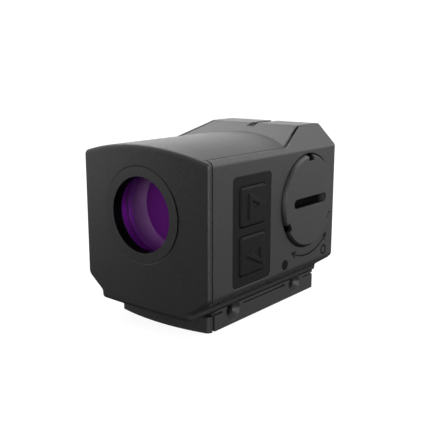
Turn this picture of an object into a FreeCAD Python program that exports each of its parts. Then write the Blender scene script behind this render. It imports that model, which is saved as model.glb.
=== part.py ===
import FreeCAD, Part
import Sketcher
import os
import re

# Enclosed reflex sight with a side-clamp base.
# Frame: +Z up, -Y the objective (front) end, +X the side with the keypad and battery cap.
# Sizes below are written with y counted from the middle of the front face; every sub-part is then
# shifted back by half the length, so the origin is the bottom centre of the sight.

SIZES = {
    # housing envelope
    "length": 52.3, "half_width": 18.8, "flat_low": 9.5, "arch_crest": 41.95, "arch_radius": 66.0,
    "bow_radius": 197.0, "tab_half": 13.9, "tab_low": 4.45, "slope_low": 6.2, "tab_depth": 3.4,
    "belly": 6.7, "skirt_in": 11.2, "skirt_low": 4.75, "low_radius": 1.9, "tab_radius": 1.0,
    "shoulder_radius": 1.2, "edge_radius": 0.9, "rear_radius": 0.9,
    # raised rear hump
    "hump_top": 43.85, "facet_x": 13.75, "facet_out_x": 18.45, "facet_out_z": 39.15,
    "ramp_front": 26.3, "ramp_back": 42.7, "ramp_low": 38.0, "skin": 2.3,
    "skin_start_x": 17.3, "skin_start_y": 32.2, "skin_start_z": 40.3,
    "groove_half": 1.1, "groove_depth": 0.8, "groove_front": 39.0,
    # side covers
    "cover_in": 15.5, "seam_front": 2.2, "seam_top": 38.0, "seam_x": 17.2, "seam": 0.42,
    "cover_low": 9.35, "cover_screw_x": 16.6, "cover_screw_front": 5.4, "cover_screw_rear": 25.3,
    "cover_head_r": 1.25, "cover_head_bore": 1.35, "cover_head_low": 8.35, "cover_head_high": 8.8,
    "cover_shank_r": 0.8, "cover_shank_end": 13.6, "cover_drive_r": 0.6, "cover_drive_deep": 0.35,
    # optics
    "axis_z": 26.4, "tunnel_r": 9.2, "tunnel_front": 5.4, "bezel_r": 10.86, "bezel_bore": 10.9,
    "bezel_back": 2.6, "window_r": 8.57, "lens_r": 9.7, "lens_seat": 9.85, "lens_front": 2.9,
    "lens_curve": 30.0, "lens_thin": 1.6, "baffle_r": 9.15, "baffle_bore": 8.75, "baffle_front": 5.45,
    "baffle_back": 11.0,
    "rear_half": 11.5, "rear_low": 9.5, "rear_high": 40.5, "rear_seat": 49.8, "rear_front": 50.3,
    "rear_open": 8.6, "pane_r": 9.3, "pane_seat": 9.4, "pane_back": 51.1, "pane_stop": 51.3,
    "rear_screw_x": 9.6, "rear_screw_low": 12.0, "rear_screw_high": 38.2, "rear_gap": 0.1,
    "rear_tap_end": 44.0, "rear_shank_end": 44.5, "rear_shank_r": 0.95, "rear_shank_bore": 1.0,
    "rear_head_r": 1.8, "rear_head_bore": 1.95, "rear_head_deep": 1.3, "rear_drive_r": 0.75,
    "rear_lead": 0.6,
    # electronics
    "bay_in": 12.0, "bay_front": 6.2, "bay_back": 50.6, "bay_low": 11.0, "bay_high": 37.7,
    "board_t": 1.0, "board_front": 7.0, "board_back": 25.4, "switch_half": 3.0, "switch_out": 15.2,
    "plunger_r": 1.2, "plunger_bore": 1.3, "stem_r": 1.9, "stem_bore": 2.2,
    "emitter_front": 40.0, "emitter_back": 47.0, "emitter_half": 6.0, "emitter_low": 13.5,
    "emitter_high": 19.0, "emitter_gap": 0.5, "slope_foot": 3.0, "led_half": 1.4, "led_near": 3.1,
    "led_far": 4.9, "led_seat_half": 1.5, "led_seat_near": 2.4, "led_seat_far": 5.0, "led_deep": 1.2,
    "led_top": 0.2, "chip_t": 1.2, "chip_front": 24.0, "chip_back": 31.0, "chip_low": 20.0,
    "chip_high": 27.0, "board_margin": 0.3,
    # keypad
    "pad_front": 8.8, "pad_back": 23.2, "pad_low": 10.65, "pad_high": 35.4, "pad_floor": 17.2,
    "pad_face": 18.75, "pad_corner": 1.2,
    "key_front": 11.2, "key_back": 20.95, "key_floor": 17.9, "key_face": 19.15, "key_gap": 0.12,
    "key_corner": 0.8, "key_bevel": 0.55,
    "upper_low": 23.9, "upper_high": 33.1, "lower_low": 12.9, "lower_high": 22.1,
    "stem_in": 16.4, "plunger_in": 14.3, "well_in": 13.8,
    "key_y": 16.05, "upper_z": 28.5, "lower_z": 17.5, "mark_face": 19.4, "mark_root": 0.2,
    "mark_half": 2.95, "mark_long": 6.2, "mark_line": 1.0, "mark_hole_half": 1.37, "mark_hole_tip": 2.33,
    "upper_foot": 14.1, "lower_foot": 19.5,
    # battery and its cap
    "cell_y": 39.06, "cell_z": 26.1, "cell_r": 10.0, "cell_in": 12.8, "cell_out": 16.0,
    "minus_r": 4.0, "plus_in": 13.4, "plus_half": 2.0,
    "tray_r": 11.3, "tray_bore": 10.35, "tray_floor": 12.6, "tray_out": 15.4,
    "socket_r": 11.65, "socket_floor": 16.7, "throat_r": 11.1,
    "cap_r": 11.4, "cap_top_r": 10.85, "cap_rim": 18.75, "cap_face": 19.65, "cap_under": 16.8,
    "plug_r": 10.95, "plug_in": 16.1, "ring_in_r": 10.4, "ring_r": 11.05, "ring_in": 16.25,
    "ring_out": 16.65, "slot_half": 7.3, "slot_r": 1.15, "slot_floor": 17.3, "slot_wheel": 14.45, "notch_half": 1.1,
    "notch_r": 9.85, "notch_long": 3.0, "notch_floor": 17.6,
    # base and clamp
    "base_half": 13.8, "base_top": 4.5, "base_nose": 5.3, "base_split": 8.1, "base_end": 51.3,
    "nose_radius": 55.0, "corner_radius": 1.3, "jaw_corner": 1.0, "plate_half": 10.9, "plate_low": 4.55,
    "plate_front": 7.4, "plate_end": 50.6,
    "hook_x": 8.6, "hook_z": 0.3, "vee_x": 10.7, "vee_z": 2.4, "jaw_front": 8.95,
    "clamp_z": 3.3, "clamp_front": 15.75, "clamp_rear": 41.8, "shank_r": 1.15, "shank_bore": 1.25,
    "head_r": 1.45, "head_bore": 1.55, "head_in": 11.0, "head_out": 11.7, "mouth_in": 12.4,
    "mouth_r": 2.55, "socket_hex": 0.9, "socket_deep": 11.2, "shank_end": 12.4, "thread_end": 12.9,
    "lip_low": 3.6, "lip_in": 13.0, "lip_top": 4.2, "step_x": 11.6, "step_top": 4.62, "nose_top": 3.7,
    "groove_a_back": 11.7, "groove_b_front": 19.7, "groove_b_back": 37.4, "groove_c_front": 45.8,
    "base_screw_x": 6.0, "base_screw_front": 12.0, "base_screw_rear": 46.0, "base_shank_r": 1.2,
    "base_shank_bore": 1.25, "base_shank_end": 10.6, "base_tap_end": 11.0, "base_head_r": 2.2,
    "base_sink_r": 2.3, "base_sink_deep": 1.05, "base_drive_r": 0.8, "base_drive_deep": 0.7,
}

doc = FreeCAD.newDocument("sight")
sheet = doc.addObject("Spreadsheet::Sheet", "Sizes")
for row, (alias, number) in enumerate(SIZES.items(), start=1):
    sheet.set(f"A{row}", alias)
    sheet.set(f"B{row}", str(number))
    sheet.setAlias(f"B{row}", alias)
doc.recompute()

NAME = re.compile(r"[a-z]+[a-z_]*")
TERM = re.compile(r"([+-]?)\s*([^+-]+)")
AXES = {
    "x": FreeCAD.Rotation(FreeCAD.Vector(0, 1, 0), 90),
    "y": FreeCAD.Rotation(FreeCAD.Vector(1, 0, 0), -90),
    "z": FreeCAD.Rotation(),
}
SUBPARTS = []


def bound(text):
    """Write a size, such as 'length-2*seam', as a spreadsheet expression."""
    return NAME.sub(lambda found: "Sizes." + found.group(0), str(text))


def number_of(text):
    """Add up the signed terms of a size written in sheet aliases and numbers."""
    total = 0.0
    for sign, term in TERM.findall(str(text)):
        product = -1.0 if sign == "-" else 1.0
        for factor in term.split("*"):
            factor = factor.strip()
            product *= SIZES[factor] if factor in SIZES else float(factor)
        total += product
    return total


def place(thing, base, rotation=FreeCAD.Rotation()):
    thing.Placement = FreeCAD.Placement(FreeCAD.Vector(*[number_of(c) for c in base]), rotation)
    for axis, text in zip("xyz", base):
        thing.setExpression(f".Placement.Base.{axis}", bound(text))
    return thing


def box(name, low, high):
    """A box between two corners, each written as three sizes."""
    thing = doc.addObject("Part::Box", name)
    for side, start, stop in zip(("Length", "Width", "Height"), low, high):
        thing.setExpression(side, f"({bound(stop)})-({bound(start)})")
    return place(thing, low)


def cylinder(name, axis, radius, start, stop, across):
    """A cylinder along an axis from start to stop; across gives its other two coordinates."""
    thing = doc.addObject("Part::Cylinder", name)
    thing.setExpression("Radius", bound(radius))
    thing.setExpression("Height", f"({bound(stop)})-({bound(start)})")
    base = list(across)
    base.insert("xyz".index(axis), start)
    return place(thing, base, AXES[axis])


def cone(name, axis, first_radius, second_radius, start, stop, across):
    thing = doc.addObject("Part::Cone", name)
    thing.setExpression("Radius1", bound(first_radius))
    thing.setExpression("Radius2", bound(second_radius))
    thing.setExpression("Height", f"({bound(stop)})-({bound(start)})")
    base = list(across)
    base.insert("xyz".index(axis), start)
    return place(thing, base, AXES[axis])


def sphere(name, radius, centre):
    thing = doc.addObject("Part::Sphere", name)
    thing.setExpression("Radius", bound(radius))
    return place(thing, centre)


def prism(name, axis, points, start, stop):
    """A straight prism along an axis; points are the profile's two other coordinates in x, y, z order."""
    frames = {
        "x": (FreeCAD.Rotation(FreeCAD.Vector(1, 1, 1), 120), FreeCAD.Vector(1, 0, 0)),
        "y": (FreeCAD.Rotation(FreeCAD.Vector(1, 0, 0), 90), FreeCAD.Vector(0, 1, 0)),
    }
    rotation, direction = frames[axis]
    sketch = doc.addObject("Sketcher::SketchObject", name + "_profile")
    base = [0, 0, 0]
    base["xyz".index(axis)] = start
    place(sketch, base, rotation)
    corners = [FreeCAD.Vector(number_of(u), number_of(v), 0) for u, v in points]
    count = len(corners)
    for i in range(count):
        sketch.addGeometry(Part.LineSegment(corners[i], corners[(i + 1) % count]))
    for i in range(count):
        sketch.addConstraint(Sketcher.Constraint("Coincident", i, 2, (i + 1) % count, 1))
    for i, (u, v) in enumerate(points):
        for kind, text, here in (("DistanceX", u, corners[i].x), ("DistanceY", v, corners[i].y)):
            index = sketch.addConstraint(Sketcher.Constraint(kind, -1, 1, i, 1, here))
            sketch.setExpression(f"Constraints[{index}]", bound(text))
    thing = doc.addObject("Part::Extrusion", name)
    thing.Base = sketch
    thing.DirMode = "Custom"
    thing.Dir = direction
    thing.Solid = True
    thing.setExpression("LengthFwd", f"({bound(stop)})-({bound(start)})")
    return thing


def cut(name, base, *tools):
    thing = doc.addObject("Part::Cut", name)
    thing.Base = base
    thing.Tool = tools[0] if len(tools) == 1 else fuse(name + "_tools", *tools)
    return thing


def fuse(name, *parts):
    thing = doc.addObject("Part::MultiFuse", name)
    thing.Shapes = list(parts)
    return thing


def common(name, *parts):
    thing = doc.addObject("Part::MultiCommon", name)
    thing.Shapes = list(parts)
    return thing


def mirrored(name, source):
    """The same shape on the other side of the sight."""
    thing = doc.addObject("Part::Mirroring", name)
    thing.Source = source
    thing.Base = FreeCAD.Vector(0, 0, 0)
    thing.Normal = FreeCAD.Vector(1, 0, 0)
    return thing


def rounded(name, base, radius, wanted):
    """Round the edges that the function wanted picks."""
    doc.recompute()
    thing = doc.addObject("Part::Fillet", name)
    thing.Base = base
    size = number_of(radius)
    thing.Edges = [(i, size, size) for i, edge in enumerate(base.Shape.Edges, 1) if wanted(edge)]
    doc.recompute()
    return thing


def along(edge, axis):
    """Whether an edge is straight and runs along an axis."""
    ends = [v.Point for v in edge.Vertexes]
    if len(ends) != 2 or abs(edge.Length - (ends[1] - ends[0]).Length) > 1e-6:
        return False
    step = ends[1] - ends[0]
    return abs(abs(getattr(step, axis)) - edge.Length) < 1e-6


def subpart(label, source):
    """Hand in a shape as a named sub-part in the shared frame."""
    holder = doc.addObject("Part::Compound", label)
    holder.Links = [source]
    holder.Label = label
    holder.setExpression(".Placement.Base.y", "-Sizes.length/2")
    SUBPARTS.append(holder)


# ---------------------------------------------------------------- housing envelope
section = prism("section", "y", [
    ("-tab_half", "tab_low"), ("tab_half", "tab_low"), ("tab_half", "slope_low"),
    ("half_width", "flat_low"), ("half_width", "arch_crest+1"), ("-half_width", "arch_crest+1"),
    ("-half_width", "flat_low"), ("-tab_half", "slope_low")], "0", "length")
arch = cylinder("arch", "y", "arch_radius", "-1", "length+1", ("0", "arch_crest-arch_radius"))
vault = common("vault", section, arch)
vault_tab = rounded("vault_tab", vault, "tab_radius",
                    lambda edge: along(edge, "y") and edge.BoundBox.ZMax < SIZES["belly"])
vault_low = rounded("vault_low", vault_tab, "low_radius", lambda edge: along(edge, "y")
                    and SIZES["belly"] < edge.BoundBox.ZMax < SIZES["flat_low"] + 0.1)
vault_round = rounded("vault_round", vault_low, "shoulder_radius",
                      lambda edge: along(edge, "y") and edge.BoundBox.ZMin > SIZES["seam_top"])
ramp = prism("ramp", "x", [
    ("ramp_front", "ramp_low"), ("ramp_back", "hump_top"), ("length", "hump_top"),
    ("length", "ramp_low")], "-half_width", "half_width")
facets = prism("facets", "y", [
    ("-facet_out_x", "ramp_low"), ("facet_out_x", "ramp_low"), ("facet_out_x", "facet_out_z"),
    ("facet_x", "hump_top"), ("-facet_x", "hump_top"), ("-facet_out_x", "facet_out_z")],
    "0", "length")
hump = common("hump", ramp, facets)
body = fuse("body", vault_round, hump)
bow = cylinder("bow", "z", "bow_radius", "0", "hump_top+1", ("0", "bow_radius"))
bowed = common("bowed", body, bow)
underside = box("underside", ("-half_width-1", "tab_depth", "-1"), ("half_width+1", "length+1", "skirt_low"))
envelope_sharp = cut("envelope_sharp", bowed, underside)
envelope_front = rounded("envelope_front", envelope_sharp, "edge_radius",
                         lambda edge: edge.BoundBox.YMax < 1.2)
envelope_rear = rounded("envelope_rear", envelope_front, "rear_radius",
                        lambda edge: edge.BoundBox.YMin > SIZES["length"] - 0.01)
# The channel between the two skirts, where the base plate sits.
channel = box("channel", ("-skirt_in", "tab_depth", "-1"), ("skirt_in", "length+1", "belly"))
envelope = cut("envelope", envelope_rear, channel)


def cover_region(tag, grow):
    """The space a side cover takes, widened by grow at its visible seams."""
    side = box("side" + tag, ("cover_in", f"seam_front-{grow}", f"cover_low-{grow}"),
               ("half_width+1", "length+1", "seam_top"))
    shoulder = box("shoulder" + tag, (f"seam_x-{grow}", f"seam_front-{grow}", "seam_top"),
                   ("half_width+1", "length+1", "hump_top+1"))
    skin = prism("skin" + tag, "y", [
        (f"facet_x-1.2*{grow}", "hump_top+1"), (f"facet_x-1.2*{grow}", "hump_top-skin"),
        ("seam_x", "seam_top+0.1"), ("half_width+1", "seam_top+0.1"),
        ("half_width+1", "hump_top+1")], "ramp_front", "length+1")
    # The skin stops at the line where the ramp meets the side facet.
    low = FreeCAD.Vector(*[SIZES["skin_start_" + axis] for axis in "xyz"])
    high = FreeCAD.Vector(number_of("facet_x"), number_of("ramp_back"), number_of("hump_top"))
    line = (high - low).normalize()
    inward = FreeCAD.Vector(-1, 0, -1).normalize()
    outward = inward.cross(line)
    edge = doc.addObject("Part::Box", "edge" + tag)
    edge.Length, edge.Width, edge.Height = 16, 60, 40
    corner = low - inward * 8 - line * 30 - outward * 1.2 * number_of(grow)
    edge.Placement = FreeCAD.Placement(corner, FreeCAD.Rotation(inward, line, outward, "ZXY"))
    trimmed = common("trimmed" + tag, skin, edge)
    return fuse("region" + tag, side, shoulder, trimmed)


plain_cover = common("plain_cover", envelope, cover_region("_cover", "0"))
cover_space = cover_region("_space", "seam")
other_space = mirrored("other_space", cover_space)

# ---------------------------------------------------------------- core housing
CENTRE = ("0", "axis_z")
COVER_SCREWS = ("cover_screw_front", "cover_screw_rear")
core = cut(
    "core", envelope, cover_space, other_space,
    cylinder("bezel_hole", "y", "bezel_bore", "-1", "bezel_back", CENTRE),
    cylinder("lens_hole", "y", "lens_seat", "bezel_back", "tunnel_front", CENTRE),
    cylinder("tunnel", "y", "tunnel_r", "tunnel_front", "length+1", CENTRE),
    box("rear_hole", ("-rear_half", "rear_seat", "rear_low"), ("rear_half", "length+1", "rear_high")),
    box("bay", ("bay_in", "bay_front", "bay_low"), ("cover_in+0.01", "bay_back", "bay_high")),
    box("driver_bay", ("-cover_in-0.01", "bay_front", "bay_low"), ("-bay_in", "bay_back", "bay_high")),
    box("emitter_bay", ("-emitter_half-emitter_gap", "emitter_front-2", "emitter_low"),
        ("emitter_half+emitter_gap", "emitter_back+1", "axis_z")),
    box("sight_groove", ("-groove_half", "groove_front", "hump_top-groove_depth"),
        ("groove_half", "length+1", "hump_top+1")),
    *[cylinder(f"rear_tap_{i}", "y", "rear_shank_r", "rear_tap_end", "rear_seat",
               (f"{side}rear_screw_x", high))
      for i, (side, high) in enumerate((s, h) for s in ("", "-")
                                       for h in ("rear_screw_low", "rear_screw_high"))],
    *[cylinder(f"base_tap_{i}", "z", "base_shank_r", "belly-0.1", "base_tap_end",
               (f"{side}base_screw_x", back))
      for i, (side, back) in enumerate((s, b) for s in ("", "-")
                                       for b in ("base_screw_front", "base_screw_rear"))],
    *[cylinder(f"cover_hole_{i}", "z", radius, start, stop, (f"{side}cover_screw_x", back))
      for i, (side, back, radius, start, stop) in enumerate(
          (s, b, *bore) for s in ("", "-") for b in COVER_SCREWS
          for bore in (("cover_head_bore", "cover_head_low-3", "cover_head_high"),
                       ("cover_shank_r", "cover_head_high-0.1", "cover_low+0.1")))],
)
subpart("core_housing", core)

# ---------------------------------------------------------------- side covers
cover_taps = [cylinder(f"cover_tap_{i}", "z", "cover_shank_r", "cover_low-0.5", "cover_shank_end+0.4",
                       ("cover_screw_x", back)) for i, back in enumerate(COVER_SCREWS)]
blank_cover = cut("blank_cover", plain_cover, *cover_taps)
subpart("left_cover", mirrored("left_cover_shape", blank_cover))

pad_block = box("pad_block", ("pad_floor", "pad_front", "pad_low"), ("half_width+1", "pad_back", "pad_high"))
pad_pocket = rounded("pad_pocket", pad_block, "pad_corner", lambda edge: along(edge, "x"))
CELL = ("cell_y", "cell_z")
right_cover = cut(
    "right_cover_shape", blank_cover, pad_pocket,
    cylinder("upper_stem_hole", "x", "stem_bore", "cover_in-1", "pad_floor+0.1", ("key_y", "upper_z")),
    cylinder("lower_stem_hole", "x", "stem_bore", "cover_in-1", "pad_floor+0.1", ("key_y", "lower_z")),
    cylinder("cap_socket", "x", "socket_r", "socket_floor", "half_width+1", CELL),
    cylinder("cap_throat", "x", "throat_r", "cover_in-1", "socket_floor+0.1", CELL),
)
subpart("right_cover", right_cover)


def cover_screw(tag, side, back):
    """One small screw driven upwards through the housing floor into a side cover."""
    across = (f"{side}cover_screw_x", back)
    head = cylinder("head" + tag, "z", "cover_head_r", "cover_head_low", "cover_head_high", across)
    drive = cylinder("drive" + tag, "z", "cover_drive_r", "cover_head_low-0.1",
                     "cover_head_low+cover_drive_deep", across)
    shank = cylinder("shank" + tag, "z", "cover_shank_r", "cover_head_high", "cover_shank_end", across)
    return fuse("screw" + tag, cut("cap" + tag, head, drive), shank)


for name, side in (("right_cover_screws", ""), ("left_cover_screws", "-")):
    pair = [cover_screw(f"_{name}_{i}", side, back) for i, back in enumerate(COVER_SCREWS)]
    pair_holder = doc.addObject("Part::Compound", name + "_pair")
    pair_holder.Links = pair
    subpart(name, pair_holder)

# ---------------------------------------------------------------- objective end
ring = cylinder("bezel_ring", "y", "bezel_r", "0.05", "bezel_back", CENTRE)
subpart("front_bezel", cut(
    "bezel", ring, cylinder("bezel_open", "y", "window_r", "-1", "bezel_back+1", CENTRE)))
glass = cylinder("lens_blank", "y", "lens_r", "lens_front", "tunnel_front", CENTRE)
hollow = sphere("lens_hollow", "lens_curve", ("0", "lens_front+lens_thin-lens_curve", "axis_z"))
subpart("objective_lens", cut("lens", glass, hollow))
subpart("objective_seal", cut(
    "front_seal", cylinder("seal_out", "y", "lens_r", "bezel_back", "lens_front", CENTRE),
    cylinder("seal_in", "y", "window_r+0.2", "bezel_back-1", "lens_front+1", CENTRE)))
subpart("baffle_tube", cut(
    "baffle", cylinder("baffle_out", "y", "baffle_r", "baffle_front", "baffle_back", CENTRE),
    cylinder("baffle_in", "y", "baffle_bore", "baffle_front-1", "baffle_back+1", CENTRE)))

# ---------------------------------------------------------------- rear end
REAR_SCREWS = [(f"{side}rear_screw_x", high) for side in ("", "-")
               for high in ("rear_screw_low", "rear_screw_high")]


def rear_plate(tag, start, stop, hole):
    """The rear opening's plate with four screw holes and a round hole of its own."""
    block = box("rear_block" + tag, ("-rear_half+rear_gap", start, "rear_low+rear_gap"),
                ("rear_half-rear_gap", stop, "rear_high-rear_gap"))
    holes = [cylinder(f"rear_hole{tag}_{i}", "y", "rear_shank_bore", "rear_seat-1", "length+1", at)
             for i, at in enumerate(REAR_SCREWS)]
    opening = cylinder("rear_open" + tag, "y", hole, "rear_seat-1", "length+1", CENTRE)
    return cut("rear_plate" + tag, block, opening, *holes)


subpart("rear_gasket", rear_plate("_gasket", "rear_seat", "rear_front", "pane_seat"))
rear_cover = cut(
    "rear_cover_shape", rear_plate("_cover", "rear_front", "length-rear_gap", "rear_open"),
    cylinder("pane_hole", "y", "pane_seat", "rear_front-1", "pane_stop", CENTRE),
    cone("rear_lead", "y", "rear_open", "rear_open+rear_lead", "length-rear_gap-rear_lead",
         "length-rear_gap", CENTRE),
    *[cylinder(f"rear_sink_{i}", "y", "rear_head_bore", "length-rear_head_deep", "length+1", at)
      for i, at in enumerate(REAR_SCREWS)],
)
subpart("rear_cover", rear_cover)
subpart("rear_window", cylinder("pane", "y", "pane_r", "rear_front", "pane_back", CENTRE))
subpart("rear_window_seal", cut(
    "pane_seal", cylinder("pane_seal_out", "y", "pane_r", "pane_back", "pane_stop", CENTRE),
    cylinder("pane_seal_in", "y", "rear_open+0.1", "pane_back-1", "pane_stop+1", CENTRE)))
rear_screws = doc.addObject("Part::Compound", "rear_screw_set")
rear_screws.Links = [
    cut(f"rear_screw_{i}", fuse(
        f"rear_screw_body_{i}",
        cylinder(f"rear_head_{i}", "y", "rear_head_r", "length-rear_head_deep", "length-0.3", at),
        cylinder(f"rear_shank_{i}", "y", "rear_shank_r", "rear_shank_end", "length-rear_head_deep", at)),
        cylinder(f"rear_drive_{i}", "y", "rear_drive_r", "length-1", "length+1", at))
    for i, at in enumerate(REAR_SCREWS)]
subpart("rear_cover_screws", rear_screws)

# ---------------------------------------------------------------- emitter and boards
mount_block = box("mount_block", ("-emitter_half", "emitter_front", "emitter_low"),
                  ("emitter_half", "emitter_back", "emitter_high"))
mount_slope = prism("mount_slope", "x", [
    ("emitter_front-1", "emitter_low+slope_foot"), ("emitter_front", "emitter_low+slope_foot"),
    ("emitter_front+slope_foot", "emitter_high"), ("emitter_front+slope_foot", "emitter_high+1"),
    ("emitter_front-1", "emitter_high+1")], "-emitter_half-1", "emitter_half+1")
led_seat = box("led_seat", ("-led_seat_half", "emitter_front+led_seat_near", "emitter_high-led_deep"),
               ("led_seat_half", "emitter_front+led_seat_far", "emitter_high+1"))
subpart("emitter_mount", cut("emitter_mount_shape", mount_block, mount_slope, led_seat))
subpart("emitter_led", box("led", ("-led_half", "emitter_front+led_near", "emitter_high-led_deep"),
                           ("led_half", "emitter_front+led_far", "emitter_high-led_top")))
subpart("keypad_board", box(
    "keypad_board_shape", ("bay_in", "board_front", "bay_low+board_margin"),
    ("bay_in+board_t", "board_back", "bay_high-board_margin")))
subpart("driver_board", box(
    "driver_board_shape", ("-bay_in-board_t", "board_front", "bay_low+board_margin"),
    ("-bay_in", "bay_back-2", "bay_high-board_margin")))
subpart("driver_chip", box(
    "driver_chip_shape", ("-bay_in-board_t-chip_t", "chip_front", "chip_low"),
    ("-bay_in-board_t", "chip_back", "chip_high")))

# ---------------------------------------------------------------- keypad, keys and switches
frame_block = box("frame_block", ("pad_floor", "pad_front", "pad_low"), ("pad_face", "pad_back", "pad_high"))
frame_round = rounded("frame_round", frame_block, "pad_corner", lambda edge: along(edge, "x"))


def key_block(tag, low, high, gap, inner, outer):
    block = box("key_block" + tag, (inner, f"key_front+{gap}", f"{low}+{gap}"),
                (outer, f"key_back-{gap}", f"{high}-{gap}"))
    return rounded("key_round" + tag, block, "key_corner", lambda edge: along(edge, "x"))


def mark(tag, foot, ahead, middle):
    """A raised triangle outline on a key's face; ahead is + or - for the way along y that it points."""
    back = "-" if ahead == "+" else "+"
    tip = f"{foot}{ahead}mark_long"
    outer = prism("mark_out" + tag, "x", [
        (foot, f"{middle}-mark_half"), (tip, middle), (foot, f"{middle}+mark_half")],
        "key_face-mark_root", "mark_face")
    inner = prism("mark_in" + tag, "x", [
        (f"{foot}{ahead}mark_line", f"{middle}-mark_hole_half"), (f"{tip}{back}mark_hole_tip", middle),
        (f"{foot}{ahead}mark_line", f"{middle}+mark_hole_half")], "key_face-1", "mark_face+1")
    return cut("mark" + tag, outer, inner)


frame_holes = []
for tag, low, high, middle, foot, ahead in (
        ("upper", "upper_low", "upper_high", "upper_z", "upper_foot", "+"),
        ("lower", "lower_low", "lower_high", "lower_z", "lower_foot", "-")):
    frame_holes.append(key_block("_hole_" + tag, low, high, "0", "pad_floor-1", "pad_face+1"))
    pad = rounded("pad_" + tag, key_block("_" + tag, low, high, "key_gap", "key_floor", "key_face"),
                  "key_bevel", lambda edge: edge.BoundBox.XMin > SIZES["key_face"] - 0.01)
    stem = cylinder("stem_" + tag, "x", "stem_r", "stem_in", "key_floor+0.1", ("key_y", middle))
    subpart(tag + "_key", fuse("key_" + tag, pad, stem, mark("_" + tag, foot, ahead, middle)))
    subpart(tag + "_plunger", cylinder(
        "plunger_" + tag, "x", "plunger_r", "plunger_in", "stem_in", ("key_y", middle)))
    case = box("case_" + tag, ("bay_in+board_t", "key_y-switch_half", f"{middle}-switch_half"),
               ("switch_out", "key_y+switch_half", f"{middle}+switch_half"))
    well = cylinder("well_" + tag, "x", "plunger_bore", "well_in", "switch_out+1", ("key_y", middle))
    subpart(tag + "_switch", cut("switch_" + tag, case, well))
subpart("keypad_frame", cut("frame_shape", frame_round, *frame_holes))

# ---------------------------------------------------------------- battery and cap
subpart("battery_tray", cut(
    "tray", cylinder("tray_out_wall", "x", "tray_r", "bay_in", "tray_out", CELL),
    cylinder("tray_well", "x", "tray_bore", "tray_floor", "tray_out+1", CELL)))
subpart("negative_contact", cylinder("minus_disc", "x", "minus_r", "tray_floor", "cell_in", CELL))
subpart("coin_cell", cylinder("cell", "x", "cell_r", "cell_in", "cell_out", CELL))
strip = box("strip", ("plus_in", "cell_y-plus_half", "cell_z"),
            ("tray_out", "cell_y+plus_half", "cell_z+tray_bore+1"))
plus_ring = cut("plus_ring", cylinder("plus_out", "x", "tray_bore", "plus_in", "tray_out", CELL),
                cylinder("plus_hole", "x", "cell_r+0.05", "plus_in-1", "tray_out+1", CELL))
subpart("positive_contact", common("plus_strip", plus_ring, strip))
rim = cylinder("cap_flange", "x", "cap_r", "cap_under", "cap_rim", CELL)
crown = cone("cap_crown", "x", "cap_r", "cap_top_r", "cap_rim", "cap_face", CELL)
plug = cylinder("cap_plug", "x", "plug_r", "plug_in", "cap_under", CELL)
ring_space = cut("ring_space", cylinder("ring_far", "x", "plug_r+1", "ring_in", "ring_out", CELL),
                 cylinder("ring_near", "x", "ring_in_r", "ring_in-1", "ring_out+1", CELL))
slot_shape = fuse(
    "slot_shape",
    box("slot_bar", ("slot_floor", "cell_y-slot_half+slot_r", "cell_z-slot_r"),
        ("cap_face+1", "cell_y+slot_half-slot_r", "cell_z+slot_r")),
    *[cylinder(f"slot_end_{i}", "x", "slot_r", "slot_floor", "cap_face+1",
               (f"cell_y{side}slot_half{back}slot_r", "cell_z"))
      for i, (side, back) in enumerate((("+", "-"), ("-", "+")))])
# The slot is as deep as a milling wheel leaves it, so its floor is curved.
coin_slot = common("coin_slot", slot_shape, cylinder(
    "slot_disc", "z", "slot_wheel", "cell_z-slot_r-1", "cell_z+slot_r+1",
    ("slot_floor+slot_wheel", "cell_y")))
notches = []
for i, angle in enumerate((90, -30, -150)):
    notch = doc.addObject("Part::Box", f"notch_{i}")
    notch.Length, notch.Width, notch.Height = 4, SIZES["notch_long"], 2 * SIZES["notch_half"]
    turn = FreeCAD.Rotation(FreeCAD.Vector(1, 0, 0), angle)
    centre = FreeCAD.Vector(SIZES["notch_floor"], SIZES["cell_y"], SIZES["cell_z"])
    corner = turn.multVec(FreeCAD.Vector(0, SIZES["notch_r"], -SIZES["notch_half"]))
    notch.Placement = FreeCAD.Placement(centre + corner, turn)
    notches.append(notch)
subpart("battery_cap", cut("cap", fuse("cap_solid", rim, crown, plug), ring_space, coin_slot, *notches))
subpart("cap_seal", cut(
    "cap_ring", cylinder("cap_ring_out", "x", "ring_r", "ring_in", "ring_out", CELL),
    cylinder("cap_ring_in", "x", "ring_in_r", "ring_in-1", "ring_out+1", CELL)))

# ---------------------------------------------------------------- base plate and clamp
CLAMPS = (("front", "clamp_front"), ("rear", "clamp_rear"))
BASE_SCREWS = [(f"{side}base_screw_x", back) for side in ("", "-")
               for back in ("base_screw_front", "base_screw_rear")]


def jaw_profile(side):
    """The section of a clamp jaw, with the vee that grips a dovetail edge."""
    return [(f"{side}base_half", "0"), (f"{side}hook_x", "0"), (f"{side}hook_x", "hook_z"),
            (f"{side}vee_x", "vee_z"), (f"{side}hook_x", "base_top"), (f"{side}step_x", "base_top"),
            (f"{side}step_x", "step_top"), (f"{side}base_half", "step_top")]


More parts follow.
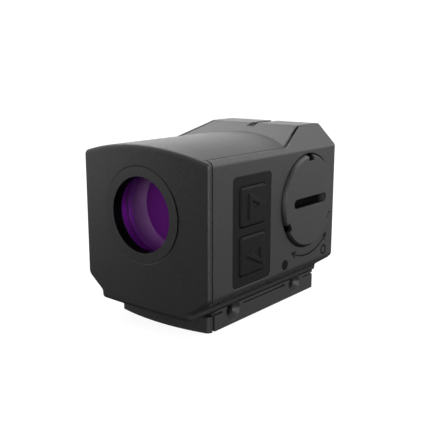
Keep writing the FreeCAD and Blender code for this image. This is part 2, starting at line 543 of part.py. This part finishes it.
plate = box("plate", ("-plate_half", "plate_front", "plate_low"), ("plate_half", "plate_end", "belly"))
nose_block = box("nose_block", ("-base_half", "base_nose", "0"), ("base_half", "base_split+4", "nose_top"))
nose_bow = cylinder("nose_bow", "z", "nose_radius", "-1", "belly", ("0", "base_nose+nose_radius"))
nose_round = rounded("nose_round", common("nose_shape", nose_block, nose_bow), "corner_radius",
                     lambda edge: along(edge, "z") and edge.BoundBox.YMax < SIZES["base_split"])
nose_trim = box("nose_trim", ("-base_half-1", "base_split", "-1"), ("base_half+1", "base_split+5", "belly"))
nose = cut("nose", nose_round, nose_trim)
nose_link = box("nose_link", ("-plate_half", "plate_front", "nose_top-0.5"),
                ("plate_half", "base_split", "belly"))
fixed_block = prism("fixed_block", "y", jaw_profile("-"), "base_split-0.01", "base_end")
fixed_jaw = rounded("fixed_jaw", fixed_block, "jaw_corner", lambda edge: along(edge, "z")
                    and edge.BoundBox.XMax < -13 and edge.BoundBox.YMin > 40)
jaw_link = box("jaw_link", ("-plate_half", "base_split", "base_top-0.2"),
               ("-hook_x-0.4", "plate_end", "belly"))
base = cut(
    "base", fuse("base_solid", plate, nose, nose_link, fixed_jaw, jaw_link),
    *[cylinder(f"thread_{tag}", "x", "shank_bore", "-thread_end", "0", (back, "clamp_z"))
      for tag, back in CLAMPS],
    *[cylinder(f"base_hole_{i}", "z", "base_shank_bore", "plate_low-1", "belly+1", at)
      for i, at in enumerate(BASE_SCREWS)],
    *[cone(f"base_sink_{i}", "z", "base_sink_r", "base_shank_bore", "plate_low",
           "plate_low+base_sink_deep", at)
      for i, at in enumerate(BASE_SCREWS)],
)
subpart("base_plate", base)
base_screws = doc.addObject("Part::Compound", "base_screw_set")
base_screws.Links = [
    cut(f"base_screw_{i}", fuse(
        f"base_screw_body_{i}",
        cone(f"base_head_{i}", "z", "base_head_r", "base_shank_r", "plate_low+0.05",
             "plate_low+base_sink_deep", at),
        cylinder(f"base_shank_{i}", "z", "base_shank_r", "plate_low+1", "base_shank_end", at)),
        cylinder(f"base_drive_{i}", "z", "base_drive_r", "plate_low", "plate_low+base_drive_deep", at))
    for i, at in enumerate(BASE_SCREWS)]
subpart("base_screws", base_screws)

jaw_block = prism("jaw_block", "y", jaw_profile(""), "jaw_front", "base_end")
jaw_round = rounded("jaw_round", jaw_block, "jaw_corner", lambda edge: along(edge, "z")
                    and edge.BoundBox.XMin > 13 and edge.BoundBox.YMin > 40)
GROOVES = (("a", "base_split-1", "groove_a_back"), ("b", "groove_b_front", "groove_b_back"),
           ("c", "groove_c_front", "base_end+1"))
jaw = cut(
    "jaw", jaw_round,
    *[box(f"jaw_groove_{tag}", ("lip_in", start, "lip_low"), ("base_half+1", stop, "lip_top"))
      for tag, start, stop in GROOVES],
    *[cylinder(f"jaw_bore_{tag}", "x", "shank_bore+0.05", "0", "head_in+0.1", (back, "clamp_z"))
      for tag, back in CLAMPS],
    *[cylinder(f"jaw_seat_{tag}", "x", "head_bore", "head_in", "mouth_in+0.1", (back, "clamp_z"))
      for tag, back in CLAMPS],
    *[cone(f"jaw_mouth_{tag}", "x", "head_bore", "mouth_r", "mouth_in", "base_half+0.01",
           (back, "clamp_z")) for tag, back in CLAMPS],
)
subpart("clamp_jaw", jaw)
for tag, back in CLAMPS:
    at = (back, "clamp_z")
    hexagon = doc.addObject("Part::Prism", "hexagon_" + tag)
    hexagon.Polygon = 6
    hexagon.setExpression("Circumradius", bound("socket_hex"))
    hexagon.Height = 3
    place(hexagon, ("socket_deep", back, "clamp_z"), AXES["x"])
    screw = fuse("clamp_screw_body_" + tag,
                 cylinder("clamp_head_" + tag, "x", "head_r", "head_in+0.02", "head_out", at),
                 cylinder("clamp_shank_" + tag, "x", "shank_r", "-shank_end", "head_in+0.1", at))
    subpart("clamp_screw_" + tag, cut("clamp_screw_shape_" + tag, screw, hexagon))

# ---------------------------------------------------------------- checks and export
doc.recompute()
for thing in doc.Objects:
    if "Invalid" in thing.State or "Error" in thing.State:
        raise RuntimeError(f"{thing.Name}: {thing.State}")
os.makedirs("parts", exist_ok=True)
for thing in SUBPARTS:
    shape = thing.Shape
    if shape.isNull() or not shape.isValid() or not shape.Solids:
        raise RuntimeError(f"{thing.Label} has no valid solid")
    shape.exportStep(f"parts/{thing.Label}.step")
    limits = shape.BoundBox
    print(f"{thing.Label:20s} solids {len(shape.Solids)} volume {shape.Volume:9.2f} "
          f"x {limits.XMin:.2f}..{limits.XMax:.2f} y {limits.YMin:.2f}..{limits.YMax:.2f} "
          f"z {limits.ZMin:.2f}..{limits.ZMax:.2f}")
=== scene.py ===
import math

import bmesh
import bpy
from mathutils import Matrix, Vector


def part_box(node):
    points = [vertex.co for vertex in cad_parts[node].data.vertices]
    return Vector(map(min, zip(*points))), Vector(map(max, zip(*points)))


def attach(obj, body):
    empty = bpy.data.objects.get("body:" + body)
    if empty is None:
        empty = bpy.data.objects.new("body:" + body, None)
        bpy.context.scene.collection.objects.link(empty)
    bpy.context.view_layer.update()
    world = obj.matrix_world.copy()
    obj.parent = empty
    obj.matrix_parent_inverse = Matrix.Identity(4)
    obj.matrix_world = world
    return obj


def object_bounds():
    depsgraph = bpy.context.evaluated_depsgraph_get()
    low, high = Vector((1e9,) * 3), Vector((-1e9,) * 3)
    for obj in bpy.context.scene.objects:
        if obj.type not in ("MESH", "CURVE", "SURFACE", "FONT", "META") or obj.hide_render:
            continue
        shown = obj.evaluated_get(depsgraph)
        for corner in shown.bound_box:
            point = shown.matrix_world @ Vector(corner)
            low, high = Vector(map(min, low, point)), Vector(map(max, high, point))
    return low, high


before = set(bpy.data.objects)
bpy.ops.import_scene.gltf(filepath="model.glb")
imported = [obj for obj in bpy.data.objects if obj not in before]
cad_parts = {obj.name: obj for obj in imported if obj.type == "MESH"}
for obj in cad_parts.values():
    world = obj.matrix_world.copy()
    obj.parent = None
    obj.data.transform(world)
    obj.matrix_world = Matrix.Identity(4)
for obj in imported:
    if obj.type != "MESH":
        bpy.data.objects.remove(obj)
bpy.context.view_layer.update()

MM = 0.001

# ---------------------------------------------------------------- camera
AZIMUTH, ELEVATION = math.radians(38.75), math.radians(12.22)
EYE = Vector((107.95, -134.44, 59.4)) * MM
LENS_MM = 59.4
SENSOR_MM = 36.0
CLIP_NEAR, CLIP_FAR = 0.005, 50.0


def make_camera():
    data = bpy.data.cameras.new("camera")
    data.lens = LENS_MM
    data.sensor_width = SENSOR_MM
    data.clip_start, data.clip_end = CLIP_NEAR, CLIP_FAR
    camera = bpy.data.objects.new("camera", data)
    back = Vector((math.sin(AZIMUTH) * math.cos(ELEVATION),
                   -math.cos(AZIMUTH) * math.cos(ELEVATION), math.sin(ELEVATION)))
    camera.rotation_euler = back.to_track_quat("Z", "Y").to_euler()
    camera.location = EYE
    bpy.context.scene.collection.objects.link(camera)
    bpy.context.scene.camera = camera


# ---------------------------------------------------------------- materials
WHITE = (1.0, 1.0, 1.0, 1.0)
# Painted shade: the near-black colour and low specular level given to bore walls and recesses.
PAINTED_SHADE_BLACK, PAINTED_SHADE_SPECULAR = (0.0015, 0.0015, 0.0015), 0.03
GLASS_IOR = 1.5
# How a coated surface's darker and lighter grains differ from its colour.
DARK_GRAIN, LIGHT_GRAIN = 0.5, 1.65
# How sharply a rounded edge counts as rubbed, how much brighter it is than the colour, and how
# much smoother.
RUBBED_GAIN, RUBBED, RUBBED_SMOOTHER = 3.0, 2.2, -0.08
# A surface has none of its finish, only painted shade in near black, below the first of these,
# by how far it faces the given way, and all of its finish above the second.
FACING_FROM, FACING_TO = 0.2, 0.6
GRAIN_DEPTH, LINE_DEPTH = 0.02 * MM, 0.01 * MM
BEVEL_SAMPLES = 6


def scaled(colour, share):
    return tuple(share * channel for channel in colour)


class Nodes:
    """A short way to lay out the nodes of a material or a world."""

    def __init__(self, owner, output, place):
        owner.use_nodes = True
        self.owner = owner
        self.tree = owner.node_tree
        self.tree.nodes.clear()
        self.output = self.tree.nodes.new(output)
        self.place = self.tree.nodes.new("ShaderNodeTexCoord").outputs[place]

    def add(self, kind, inputs=None, **settings):
        node = self.tree.nodes.new(kind)
        for key, setting in settings.items():
            setattr(node, key, setting)
        for key, source in (inputs or {}).items():
            if hasattr(source, "is_linked"):
                self.tree.links.new(source, node.inputs[key])
            else:
                node.inputs[key].default_value = source
        return node

    def noise(self, scale, detail=3.0, roughness=0.55, stretch=None):
        place = self.place
        if stretch:
            place = self.add("ShaderNodeMapping", {"Vector": place, "Scale": stretch}).outputs[0]
        return self.add("ShaderNodeTexNoise", {
            "Vector": place, "Scale": scale, "Detail": detail, "Roughness": roughness}).outputs[0]

    def span(self, source, low, high, start=0.3, stop=0.7):
        return self.add("ShaderNodeMapRange", {
            "Value": source, "From Min": start, "From Max": stop,
            "To Min": low, "To Max": high}).outputs[0]

    def blend(self, factor, first, second):
        node = self.add("ShaderNodeMix", {"Factor": factor}, data_type="RGBA")
        for index, colour in ((6, first), (7, second)):
            if hasattr(colour, "is_linked"):
                self.tree.links.new(colour, node.inputs[index])
            else:
                node.inputs[index].default_value = (*colour, 1.0)
        return node.outputs[2]

    def math(self, operation, first, second=0.0):
        return self.add("ShaderNodeMath", {0: first, 1: second}, operation=operation).outputs[0]

    def dot(self, first, second):
        return self.add("ShaderNodeVectorMath", {0: first, 1: second},
                        operation="DOT_PRODUCT").outputs["Value"]

    def along(self, axis):
        return self.add("ShaderNodeSeparateXYZ", {"Vector": self.place}).outputs[axis]

    def true_normal(self):
        return self.add("ShaderNodeNewGeometry").outputs["Normal"]

    def rounded_normal(self, radius):
        return self.add("ShaderNodeBevel", {"Radius": radius}, samples=BEVEL_SAMPLES).outputs[0]

    def bumped(self, strength, distance, height, normal=None):
        inputs = {"Strength": strength, "Distance": distance, "Height": height}
        if normal:
            inputs["Normal"] = normal
        return self.add("ShaderNodeBump", inputs).outputs[0]

    def edge_mask(self, normal, gain):
        """Near one on rounded edges, zero on flats."""
        away = self.math("SUBTRACT", 1.0, self.dot(normal, self.true_normal()))
        return self.add("ShaderNodeMath", {0: away, 1: gain}, operation="MULTIPLY",
                        use_clamp=True).outputs[0]

    def finish(self, shader):
        self.tree.links.new(shader.outputs[0], self.output.inputs["Surface"])
        return self.owner


def material_nodes(name):
    return Nodes(bpy.data.materials.new(name), "ShaderNodeOutputMaterial", "Object")


def coated(name, colour, roughness, grain=3200.0, bump=0.4, radius=0.25, wear=0.6, specular=0.5,
           face=None, sunk=None):
    """A blasted or moulded surface: fine grain, faint blotches and slightly rubbed edges.

    Where face is given, only the surfaces that point that way have the finish, and the others,
    such as the wall of a bore, get painted shade in near black. Where sunk is given, painted shade
    darkens the finish to near black from its second height to its first along X, in slots and notches.
    """
    n = material_nodes(name)
    normal = n.rounded_normal(radius * MM)
    grain_noise = n.noise(grain, 2.0, 0.6)
    blotch = n.noise(160.0, 4.0, 0.6)
    tone = n.blend(n.span(blotch, 0.0, 1.0), scaled(colour, 0.94), scaled(colour, 1.06))
    speckle = n.blend(n.span(grain_noise, 0.0, 1.0, 0.35, 0.65), scaled(colour, DARK_GRAIN),
                      scaled(colour, LIGHT_GRAIN))
    base = n.blend(n.span(blotch, 0.35, 0.65), tone, speckle)
    edge = n.math("MULTIPLY", n.edge_mask(normal, RUBBED_GAIN), n.span(blotch, 0.4 * wear, wear))
    base = n.blend(edge, base, scaled(colour, RUBBED))
    unshaded = None
    if face:
        unshaded = n.span(n.dot(n.true_normal(), face), 0.0, 1.0, FACING_FROM, FACING_TO)
    if sunk:
        unshaded = n.span(n.along("X"), 0.0, 1.0, *sunk)
    # Painted shade: where unshaded is low, the finish turns near black and loses its specular.
    if unshaded:
        base = n.blend(unshaded, PAINTED_SHADE_BLACK, base)
        specular = n.span(unshaded, PAINTED_SHADE_SPECULAR, specular, 0.0, 1.0)
    rough = n.math("ADD", n.span(n.noise(700.0), roughness - 0.015, roughness + 0.015),
                   n.math("MULTIPLY", edge, RUBBED_SMOOTHER))
    return n.finish(n.add("ShaderNodeBsdfPrincipled", {
        "Base Color": base, "Roughness": rough, "Metallic": 0.0, "Specular IOR Level": specular,
        "Normal": n.bumped(bump, GRAIN_DEPTH, grain_noise, normal)}))


def brushed(name, colour, roughness, stretch):
    """Turned or brushed metal with fine lines."""
    n = material_nodes(name)
    normal = n.rounded_normal(0.12 * MM)
    lines = n.noise(900.0, 4.0, 0.7, stretch)
    return n.finish(n.add("ShaderNodeBsdfPrincipled", {
        "Base Color": n.blend(n.span(lines, 0.0, 1.0), scaled(colour, 0.75), scaled(colour, 1.2)),
        "Roughness": n.span(lines, roughness - 0.08, roughness + 0.1), "Metallic": 1.0,
        "Normal": n.bumped(0.25, LINE_DEPTH, lines, normal)}))


def baffle(name):
    """Pale satin inside the tube, with painted shade darkening it towards the lens and a faint painted
    glow that stands in for light coming through the lens.
    """
    n = material_nodes(name)
    low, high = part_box("baffle_tube")
    painted_light_ramp = n.span(n.along("Y"), 0.0, 1.0, low.y + 0.15 * (high.y - low.y), high.y)
    turned = n.noise(900.0, 3.0, 0.6, (1.0, 6.0, 1.0))
    # Painted shade and light: the wall is dark near the lens and pale towards the rear.
    painted_shade = n.blend(painted_light_ramp, (0.16, 0.15, 0.17), (0.97, 0.95, 0.98))
    base = n.blend(n.span(turned, 0.0, 0.08), painted_shade, (0.3, 0.3, 0.3))
    # Painted glow: a faint emission standing in for light that enters through the lens.
    glow = n.blend(painted_light_ramp, (0.0, 0.0, 0.0), (0.9, 0.72, 0.9))
    return n.finish(n.add("ShaderNodeBsdfPrincipled", {
        "Base Color": base, "Roughness": n.span(turned, 0.5, 0.6),
        "Normal": n.bumped(0.1, LINE_DEPTH, turned), "Emission Color": glow,
        "Emission Strength": 0.055}))


def coated_lens(name):
    """Clear glass under a violet anti-reflection coating, with faint smears."""
    n = material_nodes(name)
    smear = n.noise(70.0, 4.0, 0.5)
    smeared = n.span(smear, 0.0, 1.0)
    through = n.add("ShaderNodeBsdfTransparent", {
        "Color": n.blend(smeared, (0.96, 0.89, 0.95), (0.98, 0.91, 0.97))})
    haze = n.add("ShaderNodeBsdfDiffuse", {
        "Color": n.blend(smeared, (0.30, 0.010, 0.53), (0.34, 0.014, 0.59))})
    film = n.add("ShaderNodeMixShader", {0: n.span(smear, 0.080, 0.088), 1: through.outputs[0],
                                         2: haze.outputs[0]})
    mirror = n.add("ShaderNodeBsdfGlossy", {
        "Color": n.blend(smeared, (0.38, 0.05, 0.56), (0.42, 0.06, 0.60)),
        "Roughness": n.span(smear, 0.36, 0.42)})
    fresnel = n.add("ShaderNodeFresnel", {"IOR": GLASS_IOR})
    share = n.math("MULTIPLY", fresnel.outputs[0], 0.6)
    return n.finish(n.add("ShaderNodeMixShader", {0: share, 1: film.outputs[0],
                                                  2: mirror.outputs[0]}))


def clear_pane(name):
    """Clear glass with faint smears."""
    n = material_nodes(name)
    smear = n.noise(200.0, 5.0, 0.6)
    smeared = n.span(smear, 0.0, 1.0)
    through = n.add("ShaderNodeBsdfTransparent", {
        "Color": n.blend(smeared, (0.80, 0.84, 0.88), (0.86, 0.9, 0.93))})
    mirror = n.add("ShaderNodeBsdfGlossy", {
        "Color": n.blend(smeared, (0.75, 0.85, 0.95), (0.9, 0.95, 1.0)),
        "Roughness": n.span(smear, 0.02, 0.07)})
    fresnel = n.add("ShaderNodeFresnel", {"IOR": GLASS_IOR})
    return n.finish(n.add("ShaderNodeMixShader", {0: fresnel.outputs[0], 1: through.outputs[0],
                                                  2: mirror.outputs[0]}))


BLACK = (0.020, 0.020, 0.021)
MATERIALS = {
    "housing": coated("housing_anodise", BLACK, 0.46, radius=0.4),
    "cover": coated("cover_anodise", (0.024, 0.024, 0.025), 0.47),
    # Painted shade: the bezel's bore wall, which faces away from the front, is near black.
    "bezel": coated("bezel_anodise_painted_bore_shade", BLACK, 0.45, radius=0.1, face=(0.0, -1.0, 0.0)),
    "base": coated("base_anodise", (0.026, 0.026, 0.027), 0.46, radius=0.2),
    # Painted shade: the cap's slot, notches and lower chamfer darken to near black along X.
    "cap": coated("cap_anodise_painted_recess_shade", (0.030, 0.030, 0.031), 0.44, radius=0.15,
                  sunk=(18.4 * MM, 19.6 * MM)),
    "rubber": coated("keypad_silicone", (0.0040, 0.0040, 0.0044), 0.62, grain=2600.0, bump=0.22,
                     radius=0.3, wear=0.4, specular=0.2),
    "seal": coated("seal_rubber", (0.012, 0.012, 0.012), 0.7, grain=3000.0, radius=0.1, wear=0.1),
    "plastic": coated("inner_plastic", (0.04, 0.04, 0.042), 0.5, radius=0.15),
    "tube": baffle("baffle_satin_painted_glow"),
    "board": coated("solder_mask", (0.012, 0.10, 0.045), 0.35, grain=2400.0, bump=0.15, radius=0.05),
    "chip": coated("chip_epoxy", (0.02, 0.02, 0.02), 0.45, grain=5000.0, radius=0.1),
    "led": coated("led_epoxy", (0.55, 0.03, 0.02), 0.2, grain=2000.0, bump=0.05, radius=0.1, wear=0.1),
    "screw": brushed("black_oxide", (0.022, 0.022, 0.024), 0.42, (1.0, 6.0, 6.0)),
    "brass": brushed("contact_plating", (0.72, 0.55, 0.22), 0.28, (1.0, 8.0, 1.0)),
    "cell": brushed("cell_steel", (0.58, 0.58, 0.6), 0.3, (6.0, 1.0, 1.0)),
    "coated_lens": coated_lens("violet_coated_glass"),
    "pane": clear_pane("rear_pane_glass"),
    "mark": coated("engraved_mark", (0.0025, 0.0025, 0.0025), 0.7, grain=5000.0, bump=0.2,
                   radius=0.05, wear=0.0, specular=0.12),
}
NODE_MATERIALS = {
    "housing": ("core_housing", "left_cover", "rear_cover"),
    "cover": ("right_cover",),
    "bezel": ("front_bezel",),
    "base": ("base_plate", "clamp_jaw"),
    "cap": ("battery_cap",),
    "rubber": ("keypad_frame", "upper_key", "lower_key"),
    "seal": ("objective_seal", "rear_gasket", "rear_window_seal", "cap_seal"),
    "plastic": ("emitter_mount", "battery_tray", "upper_switch", "lower_switch", "upper_plunger",
                "lower_plunger"),
    "tube": ("baffle_tube",),
    "board": ("keypad_board", "driver_board"),
    "chip": ("driver_chip",),
    "led": ("emitter_led",),
    "screw": ("right_cover_screws", "left_cover_screws", "rear_cover_screws", "base_screws",
              "clamp_screw_front", "clamp_screw_rear"),
    "brass": ("negative_contact", "positive_contact"),
    "cell": ("coin_cell",),
    "coated_lens": ("objective_lens",),
    "pane": ("rear_window",),
}


def dress_nodes():
    for look, names in NODE_MATERIALS.items():
        for name in names:
            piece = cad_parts.get(name)
            if piece is None:
                continue
            piece.data.materials.clear()
            piece.data.materials.append(MATERIALS[look])


# ---------------------------------------------------------------- printed marks by the battery cap
MARK_THICKNESS = 0.03 * MM
RING_STEPS = 36
ARC_REACH, ARC_START, ARC_STOP, ARC_STEPS = 13.7 * MM, -117.0, -48.0, 36
ARC_THIN, ARC_SWELL = 0.26 * MM, 0.14 * MM
# An arrow's tip lies past the arc's end, and its two strokes run back along and beside the arc.
ARROW_PAST, ARROW_BACK, ARROW_ASIDE, ARROW_WIDTH = 2.0, 6.0, 0.75 * MM, 0.34 * MM
# From the cap's centre along Y and Z, then the radii.
DOT_PLACE, DOT_OUTER = (-9.6 * MM, -14.3 * MM), 1.25 * MM
RING_PLACE, RING_OUTER, RING_INNER = (8.3 * MM, -14.1 * MM), 1.3 * MM, 0.85 * MM


def mark_layers():
    """The two heights along X between which a mark lies, around the right cover's face."""
    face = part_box("right_cover")[1].x
    return face - MARK_THICKNESS, face + MARK_THICKNESS


def keep_mark(name, mesh):
    bmesh.ops.recalc_face_normals(mesh, faces=mesh.faces)
    data = bpy.data.meshes.new(name)
    mesh.to_mesh(data)
    mesh.free()
    piece = bpy.data.objects.new(name, data)
    bpy.context.scene.collection.objects.link(piece)
    data.materials.append(MATERIALS["mark"])
    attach(piece, "housing")


def strip_mesh(name, centre_line, width):
    """A thin printed stroke that follows points (y, z) on the right cover's face."""
    mesh = bmesh.new()
    rows = []
    last = len(centre_line) - 1
    for i, (y, z) in enumerate(centre_line):
        before = centre_line[max(i - 1, 0)]
        after = centre_line[min(i + 1, last)]
        along = Vector((after[0] - before[0], after[1] - before[1])).normalized()
        side = Vector((-along.y, along.x)) * (width(i / last) / 2)
        rows.append([mesh.verts.new((x, y + s * side.x, z + s * side.y))
                     for x in mark_layers() for s in (-1, 1)])
    for first, second in zip(rows, rows[1:]):
        for a, b in ((0, 1), (1, 3), (3, 2), (2, 0)):
            mesh.faces.new((first[a], first[b], second[b], second[a]))
    mesh.faces.new((rows[0][0], rows[0][2], rows[0][3], rows[0][1]))
    mesh.faces.new((rows[-1][0], rows[-1][1], rows[-1][3], rows[-1][2]))
    keep_mark(name, mesh)


def ring_mesh(name, centre, outer, inner=None):
    """A printed ring on the right cover's face, or a filled dot where inner isn't given."""
    y, z = centre
    turns = [2 * math.pi * i / RING_STEPS for i in range(RING_STEPS)]
    mesh = bmesh.new()
    low_out, low_in, high_out, high_in = (
        [mesh.verts.new((x, y + reach * math.cos(turn), z + reach * math.sin(turn))) for turn in turns]
        for x in mark_layers() for reach in (outer, inner or outer * 0.2))
    pairs = [(low_out, high_out), (high_out, high_in), (low_in, low_out)]
    if inner:
        pairs.append((high_in, low_in))
    else:
        mesh.faces.new(high_in)
        mesh.faces.new(low_in[::-1])
    for first, second in pairs:
        for i in range(RING_STEPS):
            j = (i + 1) % RING_STEPS
            mesh.faces.new((first[i], first[j], second[j], second[i]))
    keep_mark(name, mesh)


def add_marks():
    low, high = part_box("battery_cap")
    centre_y, centre_z = (low.y + high.y) / 2, (low.z + high.z) / 2

    def on_circle(degrees, reach=ARC_REACH):
        turn = math.radians(degrees)
        return centre_y + reach * math.cos(turn), centre_z + reach * math.sin(turn)

    def from_centre(place):
        return centre_y + place[0], centre_z + place[1]

    line = [on_circle(ARC_START + (ARC_STOP - ARC_START) * i / ARC_STEPS)
            for i in range(ARC_STEPS + 1)]
    strip_mesh("turn_arc", line, lambda t: ARC_THIN + ARC_SWELL * math.sin(math.pi * t))
    ring_mesh("closed_dot", from_centre(DOT_PLACE), DOT_OUTER)
    ring_mesh("open_ring", from_centre(RING_PLACE), RING_OUTER, RING_INNER)
    for name, end, outward in (("closed_arrow", ARC_START, -1), ("open_arrow", ARC_STOP, 1)):
        tip, foot = end + outward * ARROW_PAST, end - outward * ARROW_BACK
        for tag, aside in (("outer", ARROW_ASIDE), ("inner", -ARROW_ASIDE)):
            strip_mesh(f"{name}_{tag}", [on_circle(tip), on_circle(foot, ARC_REACH + aside)],
                       lambda t: ARROW_WIDTH)


# ---------------------------------------------------------------- floor and light
FLOOR_HALF, FLOOR_GAP = 3.0, 0.0002
FLOOR_GLOW, FLOOR_GLOW_SHARE = 1.16, 0.8


def make_floor():
    half = FLOOR_HALF
    data = bpy.data.meshes.new("floor")
    data.from_pydata([(-half, -half, 0), (half, -half, 0), (half, half, 0), (-half, half, 0)], [],
                     [(0, 1, 2, 3)])
    floor = bpy.data.objects.new("floor", data)
    floor.location.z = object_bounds()[0][2] - FLOOR_GAP
    bpy.context.scene.collection.objects.link(floor)
    n = material_nodes("floor_paper")
    paper = n.blend(n.span(n.noise(40.0), 0.0, 1.0), (0.97, 0.97, 0.97), (0.99, 0.99, 0.99))
    diffuse = n.add("ShaderNodeBsdfDiffuse", {"Color": paper})
    glow = n.add("ShaderNodeEmission", {"Color": paper, "Strength": FLOOR_GLOW})
    data.materials.append(n.finish(n.add("ShaderNodeMixShader", {
        0: FLOOR_GLOW_SHARE, 1: diffuse.outputs[0], 2: glow.outputs[0]})))
    floor.visible_diffuse = False
    floor.visible_glossy = False


def area_light(name, place, size, watts):
    data = bpy.data.lights.new(name, "AREA")
    data.shape = "RECTANGLE"
    data.size, data.size_y = size
    data.energy = watts
    light = bpy.data.objects.new(name, data)
    light.location = place
    light.rotation_euler = (LIGHT_TARGET - Vector(place)).to_track_quat("-Z", "Y").to_euler()
    bpy.context.scene.collection.objects.link(light)


# The studio's soft light has the same level all round, and slopes: the side each comes from and
# its strength there. Each slope runs over this reach of the dot product, both ways.
SKY_LEVEL, SKY_REACH = 0.15, 0.9
# Below the horizon the light falls off: its least and full share, and the heights of each.
SKY_BELOW = (0.12, 1.0, -0.5, 0.0)
SKY_SLOPES = (((0.0, 0.3, 0.95), 0.237), ((-0.25, 0.9, 0.2), 0.264), ((0.95, 0.2, 0.1), 0.104))
LIGHT_TARGET = Vector((0.0, 0.0, 0.03))
# The name, place (m), size (m) and power (W) of each softbox.
SOFTBOXES = (
    ("back_low", (-0.36, 0.44, 0.13), (0.3, 0.12), 0.254),
    ("top_left", (-0.25, 0.10, 0.34), (0.3, 0.3), 0.886),
    ("top_right", (0.10, 0.16, 0.34), (0.3, 0.3), 0.595),
    ("side_fill", (0.45, 0.10, 0.10), (0.3, 0.3), 0.26),
    ("side_back", (0.30, 0.42, 0.20), (0.3, 0.3), 0.587),
    ("side_front", (0.42, -0.12, 0.14), (0.2, 0.3), 0.253),
    ("front_left", (-0.32, -0.22, 0.08), (0.25, 0.25), 0.23),
    ("corner", (0.34, -0.30, 0.03), (0.05, 0.3), 1.3),
)


def make_light():
    n = Nodes(bpy.data.worlds.new("studio"), "ShaderNodeOutputWorld", "Generated")
    total = SKY_LEVEL
    for direction, strength in SKY_SLOPES:
        facing = n.dot(n.place, Vector(direction).normalized())
        total = n.math("ADD", total, n.span(facing, 0.0, strength, -SKY_REACH, SKY_REACH))
    shaded = n.math("MULTIPLY", total, n.span(n.along("Z"), *SKY_BELOW))
    light = n.add("ShaderNodeBackground", {"Color": WHITE, "Strength": shaded})
    backdrop = n.add("ShaderNodeBackground", {"Color": WHITE})
    camera_ray = n.add("ShaderNodeLightPath").outputs["Is Camera Ray"]
    bpy.context.scene.world = n.finish(n.add("ShaderNodeMixShader", {
        0: camera_ray, 1: light.outputs[0], 2: backdrop.outputs[0]}))
    for softbox in SOFTBOXES:
        area_light(*softbox)
    bpy.context.scene.view_settings.view_transform = "Standard"


make_camera()
dress_nodes()
add_marks()
make_floor()
make_light()
